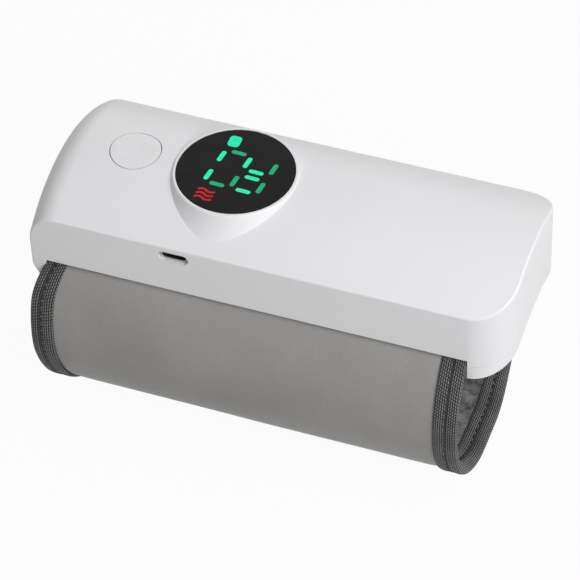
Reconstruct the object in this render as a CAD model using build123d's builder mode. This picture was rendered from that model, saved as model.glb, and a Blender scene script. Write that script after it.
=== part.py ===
from build123d import *
from math import atan2, cos, degrees, radians, sin, sqrt
import os

# Portable bottle warmer: an arched housing with battery, heater control and display, and a heated sleeve.
#
# The housing lies on top, the sleeve loops below it, and the bottle slides through the sleeve along X.
# Frame: millimetres, +X along the bottle towards the square end, +Y to the back, +Z up.
# The origin is the middle of the footprint, on the surface that the sleeve rests on.

os.makedirs("parts", exist_ok=True)

# ---- Overall sizes -------------------------------------------------------------------------------
length = 160.0            # housing, end to end
body_half = 29.8          # half the housing's width
shell_height = 28.2       # crest of the arch above the cut edge of the top shell
sleeve_r = 39.5           # outside of the sleeve's leather
flat_depth = 1.9          # how far the sleeve is pressed flat where it lies
arch_rise = 9.47          # rise of the housing's arched top, from side to middle

# ---- Walls, layers and clearances ----------------------------------------------------------------
wall = 2.2                # moulded shells
floor_wall = 2.0          # floor of the bottom cover
rim_wall = 2.0            # upright rims of the bottom cover
leather = 0.9
padding = 1.3
film = 0.3
lining = 0.8
layer_gap = 0.1           # between sewn layers
binding_leaf = 0.7        # one thickness of edge webbing
slip = 0.3                # clearance of fitted pieces
fit = 0.1                 # clearance of pressed and screwed pieces
tuck = 0.5                # clearance of the sleeve's tabs in the shell

# ---- Housing details -----------------------------------------------------------------------------
square_corner_r = 13.3    # plan corners at the square end
round_end_r = 9.5         # waterfall rounding of the other end
edge_r = 0.8              # crisp rounding of the long top edges
cut_start = 5.3           # sleeve's edge from the rounded end
cut_end = 13.0            # sleeve's edge from the square end
cut_drop = 2.6            # shell's side at its ends, below the cut edge
cut_chamfer = 1.4         # inside of the cut edge
parting_rise = 5.6        # parting line's rise from side to middle
band_height = 5.2         # bottom cover's band at the sides
band_rise = 7.6           # its underside's rise from side to middle
band_lean = 2.6           # its lean at the rounded end
rim_height = 8.8          # hem rims, above the cut edge
hip_r = 5.0               # bend of the leather where it leaves the shell
hip_rise = 3.0            # centre of that bend above the cut edge

# ---- Display -------------------------------------------------------------------------------------
display_from_end = 60.7
mark_reach = 12.7         # side marks from the middle of the lens
lens_margin = 6.45        # lens beyond the marks' middles
lens_t = 1.8
lens_proud = 0.6          # lens top above the crest
lens_rim = 1.2            # white rim round the lens
lens_ledge = 2.1          # ledge that carries the lens
flare = 8.6               # width of the concave skirt round the display
flare_sag = 1.0
window_t = 0.5            # depth of the light windows in the lens
text_tilt = 6.6           # slope of the row of digits
slant = 4.2               # lean of the upright segments
digit_pitch = 9.17
row_pitch = 8.97
column_pitch = 6.3
segment_l = 5.0
segment_w = 1.6

# ---- Button and switch ---------------------------------------------------------------------------
button_from_end = 26.5
button_d = 16.4
button_dish = 0.35
button_skirt = 1.5        # retaining flange, all round
button_travel = 0.4
plunger_d = 3.4
switch_size = 6.2
switch_h = 2.0

# ---- Boards, socket and battery ------------------------------------------------------------------
control_board_drop = 8.5  # its top below the crest
control_board_t = 1.2
main_board_rise = 11.7    # its underside above the cut edge
main_board_t = 1.6
socket_from_end = 50.1
socket_w = 8.94
socket_h = 3.26
socket_depth = 7.4
socket_wall = 0.35
slot_margin = 0.6
cell_d = 18.4
cell_l = 65.0
cell_gap = 0.6
cell_end_gap = 10.0       # battery's end from the square end
cell_rise = 13.7          # cell axes above the cut edge
post_d = 5.0
screw_d = 2.4
screw_head_d = 4.4
screw_head_t = 1.6
screw_l = 8.0
short_screw_l = 5.0       # screws that hang the control board from the shell

parting_gap = 0.25        # shadow line between shell and cover
parting_depth = 0.5


def chord_radius(half, rise):
    """Radius of an arc that rises this much over half its chord."""
    return (half**2 + rise**2) / (2 * rise)


# ---- Places worked out from those sizes ----------------------------------------------------------
lens_d = 2 * (mark_reach + lens_margin)
arch_r = chord_radius(body_half, arch_rise)
left_x = -length / 2
right_x = length / 2
sleeve_z = binding_leaf + layer_gap - flat_depth + sleeve_r
tab_y = body_half - wall - tuck
hip_y = tab_y + hip_r
hip_z = sleeve_z + sqrt((sleeve_r + hip_r) ** 2 - hip_y**2)
cut_z = hip_z - hip_rise
crest_z = cut_z + shell_height
arch_z = crest_z - arch_r
parting_side_z = cut_z - cut_drop
band_side_z = parting_side_z - band_height
rim_z = cut_z + rim_height
sleeve_x0 = left_x + cut_start
sleeve_x1 = right_x - cut_end
sleeve_t = leather + padding + film + lining + 3 * layer_gap
rim_y = tab_y - sleeve_t - 0.6
display_x = left_x + display_from_end
button_x = left_x + button_from_end
socket_x = left_x + socket_from_end
lens_top_z = crest_z + lens_proud
lens_low_z = lens_top_z - lens_t
control_z = crest_z - control_board_drop
main_z = cut_z + main_board_rise
cell_z = cut_z + cell_rise
cell_y = (cell_d + cell_gap) / 2
cell_x1 = right_x - cell_end_gap
cell_x0 = cell_x1 - cell_l
board_x0 = left_x + 15.0
board_x1 = cell_x0 - 3.0
board_y = 17.0
post_y = 14.0
main_half = tab_y - leather - padding - 0.2
main_top = main_z + main_board_t
socket_z = main_top + socket_h / 2
far = 400.0               # longer than anything here


parting_r = chord_radius(body_half, parting_rise)
parting_z = parting_side_z + parting_rise - parting_r
band_r = chord_radius(body_half, band_rise)
band_z = band_side_z + band_rise - band_r
floor_r = band_r + floor_wall


def finish(builder, name):
    """Label a finished piece and write it."""
    builder.part.label = name
    export_step(builder.part, f"parts/{name}.step")


def arch_at(radius, centre_z, y):
    """Height of an arched surface at a distance from the middle plane."""
    return centre_z + sqrt(radius**2 - y**2)


def sleeve_outline(inset):
    """Area inside the sleeve's wall, set in from the outside of the leather."""
    with BuildSketch(mode=Mode.PRIVATE) as outline:
        with Locations((0, sleeve_z)):
            Circle(sleeve_r - inset)
            Rectangle(2 * (tab_y - inset), far, align=(Align.CENTER, Align.MIN))
        with Locations((0, rim_z)):
            Rectangle(far, far, align=(Align.CENTER, Align.MIN), mode=Mode.SUBTRACT)
        hips = outline.vertices().group_by(Axis.Y)[-2]
        fillet(hips, hip_r + inset)
        with Locations((0, sleeve_z - sleeve_r + flat_depth + inset)):
            Rectangle(far, far, align=(Align.CENTER, Align.MAX), mode=Mode.SUBTRACT)
        fillet(outline.vertices().group_by(Axis.Y)[0], sleeve_r / 3)
    return outline.sketch


def arched_block(inset):
    """Solid inside the housing's surface, set in from the outside."""
    half = body_half - inset
    radius = arch_r - inset
    side_z = arch_at(radius, arch_z, half)
    low_z = band_side_z - 10
    with BuildPart(mode=Mode.PRIVATE) as block:
        with BuildSketch(Plane.YZ.offset(left_x + inset)):
            with BuildLine():
                ThreePointArc((-half, side_z), (0, arch_z + radius), (half, side_z))
                Polyline((half, side_z), (half, low_z), (-half, low_z), (-half, side_z))
            make_face()
        extrude(amount=length - 2 * inset)
        fillet(block.edges().filter_by(Axis.Z).group_by(Axis.X)[-1], square_corner_r - inset)
        fillet(block.edges().group_by(Axis.X)[0].sort_by(Axis.Z)[-1], round_end_r - inset)
        if inset == 0:
            crisp = block.edges().filter_by(
                lambda e: e.center().Z > low_z + 1 and abs(abs(e.center().Y) - half) < 0.01
                and e.center().X < right_x - square_corner_r - 1)
            crisp += block.edges().filter_by(
                lambda e: e.center().X > right_x - square_corner_r / 2 and e.center().Z > side_z - 1)
            fillet(crisp, edge_r)
    return block.part


outer_block = arched_block(0)
inner_block = arched_block(wall)


def under_arc(radius, centre_z, half):
    """Area under an arched line, down past everything, for cutting across the whole length."""
    with BuildSketch(mode=Mode.PRIVATE) as area:
        with BuildLine():
            side_z = arch_at(radius, centre_z, half)
            ThreePointArc((-half, side_z), (0, centre_z + radius), (half, side_z))
            Polyline((half, side_z), (half, -10), (-half, -10), (-half, side_z))
        make_face()
    return area.sketch


cut_half = body_half + 5
under_parting = under_arc(parting_r, parting_z, cut_half)
under_band = under_arc(band_r, band_z, cut_half)
under_floor = under_arc(floor_r, band_z, cut_half)

case_screw_spots = [
    (left_x + 9.5, -11), (left_x + 9.5, 11), (cell_x1 + 4.2, -8), (cell_x1 + 4.2, 8)]
control_post_spots = [(x, y) for x in (board_x0 + 4, display_x - lens_d / 2 - 3.2, board_x1 - 3)
                      for y in (-post_y, post_y)]
main_post_spots = [(x, y) for x in (board_x0 + 6, board_x1 - 15) for y in (-post_y, post_y)]
case_joint_z = cut_z + 4.0

# ---- Top shell -----------------------------------------------------------------------------------
flare_r = lens_d / 2 + lens_rim + flare
flare_foot_z = arch_at(arch_r, arch_z, flare_r) - 0.3
rim_r = lens_d / 2 + lens_rim
with BuildPart() as display_skirt:
    with BuildSketch(Plane((display_x, 0, 0), x_dir=(1, 0, 0), z_dir=(0, -1, 0))):
        with BuildLine():
            Polyline((0, lens_top_z), (rim_r - 0.4, lens_top_z), (rim_r, lens_top_z - 0.4))
            SagittaArc((rim_r, lens_top_z - 0.4), (flare_r, flare_foot_z), -flare_sag)
            Polyline((flare_r, flare_foot_z), (0, flare_foot_z), (0, lens_top_z))
        make_face()
    revolve(axis=Axis((display_x, 0, 0), (0, 0, 1)))

with BuildPart() as parting_groove:
    add(outer_block)
    add(arched_block(parting_depth), mode=Mode.SUBTRACT)
    with BuildSketch(Plane.YZ.offset(left_x - 5)):
        add(under_arc(parting_r + parting_gap / 2, parting_z, cut_half))
        add(under_arc(parting_r - parting_gap / 2, parting_z, cut_half), mode=Mode.SUBTRACT)
    extrude(amount=length + 10, mode=Mode.INTERSECT)

with BuildPart() as top_shell:
    add(display_skirt.part)
    with BuildSketch(Plane.XY.offset(flare_foot_z - 5)):
        with Locations((display_x, 0)):
            Rectangle(far, 2 * body_half - 0.2)
    extrude(amount=far, mode=Mode.INTERSECT)
    add(outer_block)
    add(inner_block, mode=Mode.SUBTRACT)
    # seat, ledge and light well of the display
    with Locations((display_x, 0, lens_low_z - fit)):
        Cylinder(lens_d / 2 + fit, 10, align=(Align.CENTER, Align.CENTER, Align.MIN), mode=Mode.SUBTRACT)
    with Locations((display_x, 0, control_z)):
        Cylinder(lens_d / 2 - lens_ledge, 20, align=(Align.CENTER, Align.CENTER, Align.MIN),
                 mode=Mode.SUBTRACT)
    # seat collar of the button, then its bore
    button_seat_z = arch_at(arch_r - wall, arch_z, button_d / 2 + button_skirt)
    with BuildSketch(Plane.XY.offset(button_seat_z)):
        with Locations((button_x, 0)):
            Circle(button_d / 2 + button_skirt + 0.8)
    extrude(amount=wall)
    with Locations((button_x, 0, button_seat_z - 1)):
        Cylinder(button_d / 2 + slip, 10, align=(Align.CENTER, Align.CENTER, Align.MIN), mode=Mode.SUBTRACT)
    # slot of the charging socket
    with BuildSketch(Plane((socket_x, -body_half + wall + 1, socket_z), x_dir=(1, 0, 0), z_dir=(0, -1, 0))):
        SlotOverall(socket_w + 2 * slot_margin, socket_h + slot_margin)
    extrude(amount=wall + 2, mode=Mode.SUBTRACT)
    # underside: arched parting line, straight cut edge over the sleeve
    with BuildSketch(Plane.YZ.offset(left_x - 5)):
        add(under_parting)
    extrude(amount=length + 10, mode=Mode.SUBTRACT)
    with BuildSketch(Plane.XY.offset(cut_z)):
        with Locations((sleeve_x0 - slip, 0)):
            Rectangle(sleeve_x1 - sleeve_x0 + 2 * slip, 2 * cut_half, align=(Align.MIN, Align.CENTER))
    extrude(amount=-far, mode=Mode.SUBTRACT)
    inside_y = body_half - wall
    with BuildSketch(Plane.YZ.offset(sleeve_x0 - slip)):
        with BuildLine():
            Polyline((inside_y - 1, cut_z - 1), (inside_y - 1, cut_z + cut_chamfer + 0.6),
                     (inside_y, cut_z + cut_chamfer), (inside_y + cut_chamfer, cut_z),
                     (inside_y + cut_chamfer, cut_z - 1), (inside_y - 1, cut_z - 1))
        make_face()
        mirror(about=Plane.YZ)
    extrude(amount=sleeve_x1 - sleeve_x0 + 2 * slip, mode=Mode.SUBTRACT)
    # posts for the control board and for the case screws
    for spots, low_z, depth in ((control_post_spots, control_z, short_screw_l - 0.8),
                                (case_screw_spots, case_joint_z, screw_l - 1.0)):
        for x, y in spots:
            top_z = arch_at(arch_r - wall, arch_z, abs(y)) + wall / 2
            with BuildSketch(Plane.XY.offset(low_z)):
                with Locations((x, y)):
                    Circle(post_d / 2)
            extrude(amount=top_z - low_z)
            with BuildSketch(Plane.XY.offset(low_z)):
                with Locations((x, y)):
                    Circle(screw_d / 2 + fit)
            extrude(amount=depth, mode=Mode.SUBTRACT)
    add(parting_groove.part, mode=Mode.SUBTRACT)
finish(top_shell, "top_shell")

# ---- Bottom cover --------------------------------------------------------------------------------
with BuildPart() as bottom_cover:
    add(outer_block)
    with BuildSketch(Plane.YZ.offset(left_x - 5)):
        Rectangle(4 * cut_half, far)
        add(under_parting, mode=Mode.SUBTRACT)
    extrude(amount=length + 10, mode=Mode.SUBTRACT)
    with BuildSketch(Plane.YZ.offset(left_x - 5)):
        add(under_band)
    extrude(amount=length + 10, mode=Mode.SUBTRACT)
    # the band leans in at the rounded end
    with BuildSketch(Plane.XZ.offset(-cut_half)):
        with BuildLine():
            Polyline((left_x - 1, parting_side_z), (left_x, parting_side_z),
                     (left_x + band_lean, band_side_z), (left_x + band_lean, band_side_z - 5),
                     (left_x - 1, band_side_z - 5), (left_x - 1, parting_side_z))
        make_face()
    extrude(amount=2 * cut_half, mode=Mode.SUBTRACT)
    # hollow above the floor
    with BuildSketch(Plane.YZ.offset(left_x + wall + band_lean)):
        Rectangle(2 * (body_half - wall), far)
        add(under_floor, mode=Mode.SUBTRACT)
    extrude(amount=length - 2 * wall - band_lean - 0.6 * square_corner_r, mode=Mode.SUBTRACT)
    # the sleeve's tabs pass outside the narrow middle
    with BuildSketch(Plane.XY.offset(band_side_z - 5)):
        with Locations((sleeve_x0 - slip, rim_y), (sleeve_x0 - slip, -rim_y - far)):
            Rectangle(sleeve_x1 - sleeve_x0 + 2 * slip, far, align=(Align.MIN, Align.MIN))
    extrude(amount=far, mode=Mode.SUBTRACT)
    # upright rims that the hem bars hook over
    for side in (-1, 1):
        with BuildSketch(Plane.XY.offset(arch_at(band_r, band_z, rim_y) + 0.5)):
            with Locations((sleeve_x0 + 1, side * (rim_y - rim_wall / 2))):
                Rectangle(sleeve_x1 - sleeve_x0 - 2, rim_wall, align=(Align.MIN, Align.CENTER))
        extrude(amount=rim_z - arch_at(band_r, band_z, rim_y) - 0.5)
    # posts: case screws from below, main board, and two ribs under the battery cradle
    for spots, top_z in ((case_screw_spots, case_joint_z), (main_post_spots, main_z)):
        for x, y in spots:
            with BuildSketch(Plane.XY.offset(arch_at(band_r, band_z, abs(y)) + 0.6)):
                with Locations((x, y)):
                    Circle(post_d / 2 + (0.7 if spots is case_screw_spots else 0))
            extrude(amount=top_z - arch_at(band_r, band_z, abs(y)) - 0.6)
    for x, y in case_screw_spots:
        with BuildSketch(Plane.XY.offset(case_joint_z)):
            with Locations((x, y)):
                Circle(screw_d / 2 + fit)
        extrude(amount=-far, mode=Mode.SUBTRACT)
        with BuildSketch(Plane.XY.offset(case_joint_z - 1.6)):
            with Locations((x, y)):
                Circle(screw_head_d / 2 + fit)
        extrude(amount=-far, mode=Mode.SUBTRACT)
    for x, y in main_post_spots:
        with BuildSketch(Plane.XY.offset(main_z)):
            with Locations((x, y)):
                Circle(screw_d / 2 + fit)
        extrude(amount=-screw_l + 1, mode=Mode.SUBTRACT)
    cradle_low_z = band_z + floor_r + 0.3
    with BuildSketch(Plane.XY.offset(cradle_low_z)):
        with Locations((cell_x0 + 12, 0), (cell_x1 - 12, 0)):
            Rectangle(3, 30)
    extrude(amount=-cradle_low_z + arch_at(band_r, band_z, 0) - 2)
    with BuildSketch(Plane.YZ.offset(left_x - 5)):
        add(under_band)
    extrude(amount=length + 10, mode=Mode.SUBTRACT)
    # lead hole of the temperature sensor
    sensor_x = display_x - 16
    with Locations((sensor_x, 0, band_z + band_r)):
        Cylinder(1.4, 12, mode=Mode.SUBTRACT)
    add(parting_groove.part, mode=Mode.SUBTRACT)
finish(bottom_cover, "bottom_cover")

# ---- Sleeve: leather, padding, heating film and lining as nested layers ---------------------------
layer_insets = {
    "sleeve_cover": (0, leather),
    "sleeve_padding": (leather + layer_gap, leather + layer_gap + padding),
    "heating_film": (sleeve_t - lining - layer_gap - film, sleeve_t - lining - layer_gap),
    "sleeve_lining": (sleeve_t - lining, sleeve_t)}
for name, (outside, inside) in layer_insets.items():
    with BuildPart() as layer:
        with BuildSketch(Plane.YZ.offset(sleeve_x0 + binding_leaf + layer_gap)):
            add(sleeve_outline(outside))
            add(sleeve_outline(inside), mode=Mode.SUBTRACT)
        extrude(amount=sleeve_x1 - sleeve_x0 - 2 * (binding_leaf + layer_gap))
    finish(layer, name)

# ---- Edge bindings: webbing folded over both ends of the sleeve -----------------------------------
binding_w = {"binding_left": 8.9, "binding_right": 8.1}
binding_top_z = cut_z - slip
for name, width in binding_w.items():
    start = sleeve_x0 if name == "binding_left" else sleeve_x1 - width
    groove = start + binding_leaf if name == "binding_left" else start - 1
    with BuildPart() as binding:
        with BuildSketch(Plane.YZ.offset(start)):
            add(sleeve_outline(-layer_gap - binding_leaf))
            add(sleeve_outline(sleeve_t + layer_gap + binding_leaf), mode=Mode.SUBTRACT)
        extrude(amount=width)
        with BuildSketch(Plane.YZ.offset(groove)):
            add(sleeve_outline(-layer_gap))
            add(sleeve_outline(sleeve_t + layer_gap), mode=Mode.SUBTRACT)
        extrude(amount=width - binding_leaf + 1, mode=Mode.SUBTRACT)
        with BuildSketch(Plane.XY.offset(binding_top_z)):
            Rectangle(far, far)
        extrude(amount=far, mode=Mode.SUBTRACT)
    finish(binding, name)

# ---- Hem bars: sewn to the sleeve's tabs and hooked over the cover's rims --------------------------
bar_t = 1.4
bar_leg = 0.9
bar_leg_h = 4.0
tail_w = 6.0
tail_xs = (board_x0 + 12, board_x1 - 24)
tail_y = tab_y - leather - padding - 1.5 * layer_gap - film / 2
for name, side in (("hem_bar_front", -1), ("hem_bar_back", 1)):
    leg_y = rim_y - rim_wall - slip - bar_leg / 2
    bar_in = leg_y - bar_leg / 2
    with BuildPart() as bar:
        with BuildSketch(Plane.XY.offset(rim_z)):
            with Locations(((sleeve_x0 + sleeve_x1) / 2, side * (bar_in + tab_y) / 2)):
                Rectangle(sleeve_x1 - sleeve_x0 - 4, tab_y - bar_in)
        extrude(amount=bar_t)
        with BuildSketch(Plane.XY.offset(rim_z)):
            with Locations(((sleeve_x0 + sleeve_x1) / 2, side * leg_y)):
                Rectangle(sleeve_x1 - sleeve_x0 - 4, bar_leg)
        extrude(amount=-bar_leg_h)
        with BuildSketch(Plane.XY.offset(rim_z)):
            with Locations(*[(x, side * tail_y) for x in tail_xs]):
                Rectangle(tail_w + 2 * slip, film + 2 * slip)
        extrude(amount=bar_t, mode=Mode.SUBTRACT)
    finish(bar, name)

# ---- Film tails: flat leads from the heating film up to the main board ----------------------------
with BuildPart() as film_tails:
    with BuildSketch(Plane.XY.offset(rim_z)):
        with Locations(*[(x, side * tail_y) for x in tail_xs for side in (-1, 1)]):
            Rectangle(tail_w, film)
    extrude(amount=main_z - rim_z)
finish(film_tails, "film_tails")

# ---- Cavity pad under the cover, and the temperature sensor in its middle --------------------------
pad_t = 1.5
sensor_d = 8.0
with BuildPart() as cavity_pad:
    with BuildSketch(Plane.YZ.offset(sleeve_x0 + 2)):
        Rectangle(2 * (rim_y - 1.5), far)
        add(under_arc(band_r - fit - pad_t, band_z, cut_half), mode=Mode.SUBTRACT)
        with BuildSketch(mode=Mode.PRIVATE) as above:
            Rectangle(4 * cut_half, 2 * far)
            add(under_arc(band_r - fit, band_z, cut_half), mode=Mode.SUBTRACT)
        add(above.sketch, mode=Mode.SUBTRACT)
    extrude(amount=sleeve_x1 - sleeve_x0 - 4)
    with Locations((sensor_x, 0, band_z + band_r)):
        Cylinder(sensor_d / 2 + slip, 12, mode=Mode.SUBTRACT)
finish(cavity_pad, "cavity_pad")

with BuildPart() as temperature_sensor:
    with BuildSketch(Plane.XY.offset(band_z + band_r - 0.3)):
        with Locations((sensor_x, 0)):
            Circle(sensor_d / 2)
    extrude(amount=-pad_t)
    with BuildSketch(Plane.XY.offset(band_z + band_r - 0.3)):
        with Locations((sensor_x, 0)):
            Circle(1.0)
    extrude(amount=main_z - band_z - band_r + 0.3)
finish(temperature_sensor, "temperature_sensor")

# ---- Display: lens, light windows, light frame and light chips -------------------------------------
text_dir = Vector(sin(radians(text_tilt)), cos(radians(text_tilt)))
down_dir = Vector(cos(radians(text_tilt - slant)), -sin(radians(text_tilt - slant)))
text_turn = degrees(atan2(text_dir.Y, text_dir.X))
down_turn = degrees(atan2(down_dir.Y, down_dir.X))
text_middle = Vector(1.75, 0.2)
segment_step = {          # across and down from the digit's middle, in half pitches
    "top": (0, -2), "middle": (0, 0), "bottom": (0, 2),
    "upper_left": (-1, -1), "lower_left": (-1, 1), "upper_right": (1, -1), "lower_right": (1, 1)}
bright_segments = {-1: ("top", "lower_left", "lower_right"), 1: ("top", "middle", "lower_left")}
dim_segments = {-1: ("upper_left", "middle", "bottom"), 1: ("upper_right", "bottom")}


def segment_places(chosen):
    """Place and turn of each chosen segment, from the middle of the lens."""
    places = []
    for side, names in chosen.items():
        for segment in names:
            across, down = segment_step[segment]
            spot = (text_middle + text_dir * (side * digit_pitch / 2 + across * column_pitch / 2)
                    + down_dir * (down * row_pitch / 2))
            places.append((spot.X, spot.Y, down_turn if across else text_turn))
    return places


def segment_area(chosen, margin=0.0):
    """Rounded bars of the chosen segments."""
    with BuildSketch(mode=Mode.PRIVATE) as area:
        for x, y, turn in segment_places(chosen):
            with Locations(Location((x, y, 0), (0, 0, turn))):
                SlotOverall(segment_l + 2 * margin, segment_w + 2 * margin)
    return area.sketch


def status_area():
    """Rounded bottle mark of the ready lamp."""
    with BuildSketch(mode=Mode.PRIVATE) as area:
        with Locations((-5.05, mark_reach)):
            RectangleRounded(4.0, 5.0, 1.3)
    return area.sketch


def heat_area():
    """Three rising waves of the heating lamp."""
    with BuildSketch(mode=Mode.PRIVATE) as area:
        for row in (-1, 0, 1):
            y = -mark_reach + row * 1.75
            with BuildLine():
                ThreePointArc((-8.6, y - 0.15), (-7.2, y + 0.5), (-5.75, y))
                ThreePointArc((-5.75, y), (-4.3, y - 0.5), (-2.9, y + 0.15))
            trace(line_width=0.8)
    return area.sketch


window_areas = {
    "digit_windows_bright": segment_area(bright_segments), "digit_windows_dim": segment_area(dim_segments),
    "status_window": status_area(), "heat_window": heat_area()}
lens_face = Plane((display_x, 0, lens_top_z))
with BuildPart() as display_window:
    with BuildSketch(lens_face.offset(-lens_t)):
        Circle(lens_d / 2)
    extrude(amount=lens_t)
    fillet(display_window.edges().group_by(Axis.Z)[-1], 0.25)
    for area in window_areas.values():
        with BuildSketch(lens_face.offset(-window_t)):
            add(area)
        extrude(amount=window_t, mode=Mode.SUBTRACT)
finish(display_window, "display_window")

for name, area in window_areas.items():
    with BuildPart() as window:
        with BuildSketch(lens_face.offset(-window_t)):
            add(area)
        extrude(amount=window_t)
    finish(window, name)

frame_top_z = lens_low_z - fit
with BuildPart() as led_frame:
    with BuildSketch(Plane((display_x, 0, control_z))):
        Circle(lens_d / 2 - lens_ledge - slip)
        add(segment_area(bright_segments, 0.3), mode=Mode.SUBTRACT)
        add(segment_area(dim_segments, 0.3), mode=Mode.SUBTRACT)
        for y in (-mark_reach, mark_reach):
            with Locations((-5.4, y)):
                RectangleRounded(6.6, 5.6, 1.0, mode=Mode.SUBTRACT)
    extrude(amount=frame_top_z - control_z)
finish(led_frame, "led_frame")

side_chips = [(-5.4, y, 0) for y in (-mark_reach, mark_reach)]
chip_places = segment_places(bright_segments) + segment_places(dim_segments) + side_chips
with BuildPart() as led_chips:
    with BuildSketch(Plane((display_x, 0, control_z))):
        with Locations(*[Location((x, y, 0), (0, 0, turn)) for x, y, turn in chip_places]):
            Rectangle(1.6, 0.8)
    extrude(amount=0.7)
finish(led_chips, "led_chips")

# ---- Button and switch -----------------------------------------------------------------------------
cap_low_z = button_seat_z - slip - 1.2
plunger_top_z = control_z + switch_h + 0.5
dish_r = chord_radius(button_d / 2 - 1.5, button_dish)
with BuildPart() as power_button:
    add(outer_block)
    with BuildSketch(Plane.XY.offset(cap_low_z)):
        with Locations((button_x, 0)):
            Circle(button_d / 2)
    extrude(amount=far, mode=Mode.INTERSECT)
    with Locations((button_x, 0, crest_z - button_dish + dish_r)):
        Sphere(dish_r, mode=Mode.SUBTRACT)
    with BuildSketch(Plane.XY.offset(cap_low_z)):
        with Locations((button_x, 0)):
            Circle(button_d / 2 + button_skirt - 0.3)
    extrude(amount=1.2)
    with BuildSketch(Plane.XY.offset(cap_low_z)):
        with Locations((button_x, 0)):
            Circle(2.5)
    extrude(amount=plunger_top_z + fit - cap_low_z)
finish(power_button, "power_button")

well_z = control_z + 0.3
with BuildPart() as switch_body:
    with BuildSketch(Plane.XY.offset(control_z)):
        with Locations((button_x, 0)):
            RectangleRounded(switch_size, switch_size, 0.5)
    extrude(amount=switch_h)
    with BuildSketch(Plane.XY.offset(well_z)):
        with Locations((button_x, 0)):
            Circle(plunger_d / 2 + slip)
    extrude(amount=switch_h, mode=Mode.SUBTRACT)
finish(switch_body, "switch_body")

with BuildPart() as switch_plunger:
    with BuildSketch(Plane.XY.offset(well_z + button_travel + 0.2)):
        with Locations((button_x, 0)):
            Circle(plunger_d / 2)
    extrude(amount=plunger_top_z - well_z - button_travel - 0.2)
finish(switch_plunger, "switch_plunger")

# ---- Boards and what they carry --------------------------------------------------------------------
with BuildPart() as control_board:
    with BuildSketch(Plane.XY.offset(control_z)):
        with Locations((board_x0, 0)):
            Rectangle(board_x1 - board_x0, 2 * board_y, align=(Align.MIN, Align.CENTER))
        with Locations(*control_post_spots):
            Circle(screw_d / 2 + fit, mode=Mode.SUBTRACT)
    extrude(amount=-control_board_t)
finish(control_board, "control_board")

with BuildPart() as main_board:
    with BuildSketch(Plane.XY.offset(main_z)):
        with Locations((board_x0, 0)):
            Rectangle(board_x1 - board_x0 - 10, 2 * main_half, align=(Align.MIN, Align.CENTER))
        with Locations(*main_post_spots):
            Circle(screw_d / 2 + fit, mode=Mode.SUBTRACT)
    extrude(amount=main_board_t)
finish(main_board, "main_board")

with BuildPart() as board_screws:
    for spots, seat_z, turn, shank in (
            (main_post_spots, main_top, 1, screw_l - 1.5),
            (control_post_spots, control_z - control_board_t, -1, short_screw_l)):
        with BuildSketch(Plane.XY.offset(seat_z)):
            with Locations(*spots):
                Circle(screw_head_d / 2)
        extrude(amount=turn * screw_head_t)
        with BuildSketch(Plane.XY.offset(seat_z)):
            with Locations(*spots):
                Circle(screw_d / 2)
        extrude(amount=-turn * shank)
    with BuildSketch(Plane.XY.offset(main_top + screw_head_t)):
        with Locations(*main_post_spots):
            RegularPolygon(1.0, 6)
    extrude(amount=-0.9, mode=Mode.SUBTRACT)
    with BuildSketch(Plane.XY.offset(control_z - control_board_t - screw_head_t)):
        with Locations(*control_post_spots):
            RegularPolygon(1.0, 6)
    extrude(amount=0.9, mode=Mode.SUBTRACT)
finish(board_screws, "board_screws")

with BuildPart() as case_screws:
    seat_z = case_joint_z - 1.6
    with BuildSketch(Plane.XY.offset(seat_z)):
        with Locations(*case_screw_spots):
            Circle(screw_head_d / 2)
    extrude(amount=-screw_head_t)
    with BuildSketch(Plane.XY.offset(seat_z)):
        with Locations(*case_screw_spots):
            Circle(screw_d / 2)
    extrude(amount=screw_l)
    with BuildSketch(Plane.XY.offset(seat_z - screw_head_t)):
        with Locations(*case_screw_spots):
            RegularPolygon(1.0, 6)
    extrude(amount=0.9, mode=Mode.SUBTRACT)
finish(case_screws, "case_screws")

socket_mouth_y = -body_half + 1.2
socket_plane = Plane((socket_x, socket_mouth_y, socket_z), x_dir=(1, 0, 0), z_dir=(0, -1, 0))
with BuildPart() as usb_socket_shell:
    with BuildSketch(socket_plane):
        SlotOverall(socket_w, socket_h)
        SlotOverall(socket_w - 2 * socket_wall, socket_h - 2 * socket_wall, mode=Mode.SUBTRACT)
    extrude(amount=-socket_depth)
    with BuildSketch(socket_plane.offset(-socket_depth)):
        SlotOverall(socket_w, socket_h)
    extrude(amount=-socket_wall)
finish(usb_socket_shell, "usb_socket_shell")

with BuildPart() as usb_socket_tongue:
    with BuildSketch(socket_plane.offset(-0.6)):
        RectangleRounded(socket_w - 2.3, 0.7, 0.2)
    extrude(amount=-socket_depth + 0.6)
    with BuildSketch(socket_plane.offset(-socket_depth)):
        SlotOverall(socket_w - 2 * socket_wall - fit, socket_h - 2 * socket_wall - fit)
    extrude(amount=1.6)
finish(usb_socket_tongue, "usb_socket_tongue")

part_blocks = [           # middle x from the board's start, y, length, width, height
    (31, 13, 9, 9, 3.0), (42, 12, 7, 7, 1.0), (20, -3, 6, 6, 1.0), (36, -14, 5, 4, 1.2), (10, 4, 4, 3, 1.4),
    (44, -4, 3.2, 1.8, 1.2), (30, 2, 3.2, 1.8, 1.2), (10, -6, 3.2, 2.6, 1.4)]
with BuildPart() as power_components:
    for from_start, y, long, wide, tall in part_blocks:
        with BuildSketch(Plane.XY.offset(main_top)):
            with Locations((board_x0 + from_start, y)):
                Rectangle(long, wide)
        extrude(amount=tall)
finish(power_components, "power_components")

with BuildPart() as board_header:
    with BuildSketch(Plane.XY.offset(main_top)):
        with Locations((board_x1 - 15, 5)):
            Rectangle(2.5, 10)
    extrude(amount=control_z - control_board_t - main_top)
finish(board_header, "board_header")

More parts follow.
